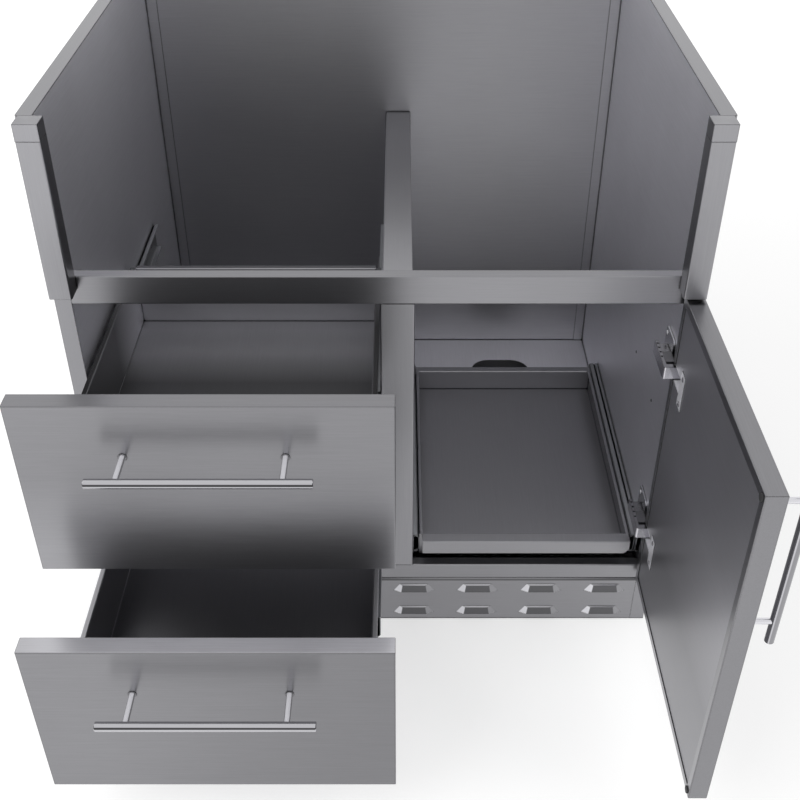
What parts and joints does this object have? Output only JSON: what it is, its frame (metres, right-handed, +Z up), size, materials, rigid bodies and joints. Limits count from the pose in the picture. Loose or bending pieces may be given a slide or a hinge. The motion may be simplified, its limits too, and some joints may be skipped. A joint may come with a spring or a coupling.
{
  "type": "outdoor kitchen base cabinet",
  "caption": "Stainless outdoor kitchen base cabinet with bar-handled drawers, a hinged door with a pull-out tray, a louvred kick plate and a cut-out above for a built-in grill.",
  "frame": {"origin": "mid-width of the cabinet, on the floor, in the plane of the carcass face behind the drawer and door fronts", "axes": "+X to the right seen from the front, +Y into the cabinet, +Z up"},
  "size_m": [0.915, 1.1332, 0.87],
  "materials": {
    "brushed_front": "fine horizontal brushing",
    "brushed_carcass": "fine brushing",
    "dull_interior": "plain mill finish, darker",
    "slide_steel": "zinc plated",
    "bright_bar": "satin polished",
    "hinge_steel": "nickel plated",
    "black_rubber": "matt"
  },
  "bodies": {
    "carcass": {"side_panel_left": "brushed_carcass", "side_panel_right": "brushed_carcass", "liner_left": "dull_interior", "liner_right": "dull_interior", "back_panel": "brushed_carcass", "corner_strips": "dull_interior", "floor_pan": "dull_interior", "partition_left": "dull_interior", "partition_right": "dull_interior", "centre_stile": "brushed_carcass", "bottom_rail": "brushed_carcass", "upper_rail": "brushed_carcass", "kick_plate": "brushed_carcass", "filler_left": "brushed_front", "filler_right": "brushed_front", "filler_cap_left": "brushed_front", "filler_cap_right": "brushed_front", "rear_top_rail": "brushed_carcass", "foot_brackets": "slide_steel", "hinge_plates": "hinge_steel", "hinge_arms": "hinge_steel", "tray_spacer": "slide_steel", "upper_drawer_slide_outer": "slide_steel", "lower_drawer_slide_outer": "slide_steel", "tray_slide_outer": "slide_steel"},
    "upper_drawer": {"upper_drawer_front": "brushed_front", "upper_drawer_front_liner": "dull_interior", "upper_drawer_box": "dull_interior", "upper_drawer_box_ends": "dull_interior", "upper_drawer_handle_bar": "bright_bar", "upper_drawer_handle_posts": "bright_bar", "upper_drawer_slide_inner": "slide_steel"},
    "upper_drawer_slide_middle": {"upper_drawer_slide_middle": "slide_steel"},
    "lower_drawer": {"lower_drawer_front": "brushed_front", "lower_drawer_front_liner": "dull_interior", "lower_drawer_box": "dull_interior", "lower_drawer_box_ends": "dull_interior", "lower_drawer_handle_bar": "bright_bar", "lower_drawer_handle_posts": "bright_bar", "lower_drawer_slide_inner": "slide_steel"},
    "lower_drawer_slide_middle": {"lower_drawer_slide_middle": "slide_steel"},
    "tray": {"tray_pan": "dull_interior", "tray_slide_inner": "slide_steel"},
    "tray_slide_middle": {"tray_slide_middle": "slide_steel"},
    "door": {"door_front": "brushed_front", "door_liner": "dull_interior", "door_handle_bar": "bright_bar", "door_handle_posts": "bright_bar", "hinge_cups": "hinge_steel", "hinge_pins": "hinge_steel", "door_bumpers": "black_rubber"},
    "foot_front_left": {"foot_front_left": "slide_steel"},
    "foot_front_right": {"foot_front_right": "slide_steel"},
    "foot_rear_left": {"foot_rear_left": "slide_steel"},
    "foot_rear_right": {"foot_rear_right": "slide_steel"}
  },
  "joints": [
    {"name": "upper_drawer_slide", "type": "slide", "parent": "carcass", "child": "upper_drawer", "axis": [0, -1, 0], "range_m": [-0.2276, 0.2804]},
    {"name": "upper_middle_slide", "type": "slide", "parent": "carcass", "child": "upper_drawer_slide_middle", "axis": [0, -1, 0], "range_m": [-0.1139, 0.1403]},
    {"name": "lower_drawer_slide", "type": "slide", "parent": "carcass", "child": "lower_drawer", "axis": [0, -1, 0], "range_m": [-0.3616, 0.1464]},
    {"name": "lower_middle_slide", "type": "slide", "parent": "carcass", "child": "lower_drawer_slide_middle", "axis": [0, -1, 0], "range_m": [-0.1809, 0.0733]},
    {"name": "tray_slide", "type": "slide", "parent": "carcass", "child": "tray", "axis": [0, -1, 0], "range_m": [0, 0.45]},
    {"name": "tray_middle_slide", "type": "slide", "parent": "carcass", "child": "tray_slide_middle", "axis": [0, -1, 0], "range_m": [0, 0.2251]},
    {"name": "door_hinge", "type": "hinge", "parent": "carcass", "child": "door", "pos_m": [0.419, -0.0172, 0.366], "axis": [0, 0, 1], "range_deg": [-90, 15]},
    {"name": "foot_front_left_screw", "type": "slide", "parent": "carcass", "child": "foot_front_left", "axis": [0, 0, -1], "range_m": [0, 0.02]},
    {"name": "foot_front_right_screw", "type": "slide", "parent": "carcass", "child": "foot_front_right", "axis": [0, 0, -1], "range_m": [0, 0.02]},
    {"name": "foot_rear_left_screw", "type": "slide", "parent": "carcass", "child": "foot_rear_left", "axis": [0, 0, -1], "range_m": [0, 0.02]},
    {"name": "foot_rear_right_screw", "type": "slide", "parent": "carcass", "child": "foot_rear_right", "axis": [0, 0, -1], "range_m": [0, 0.02]}
  ],
  "couplings": [
    {"joint": "upper_middle_slide", "follows": "upper_drawer_slide", "ratio": 0.5},
    {"joint": "lower_middle_slide", "follows": "lower_drawer_slide", "ratio": 0.5},
    {"joint": "tray_middle_slide", "follows": "tray_slide", "ratio": 0.5}
  ]
}
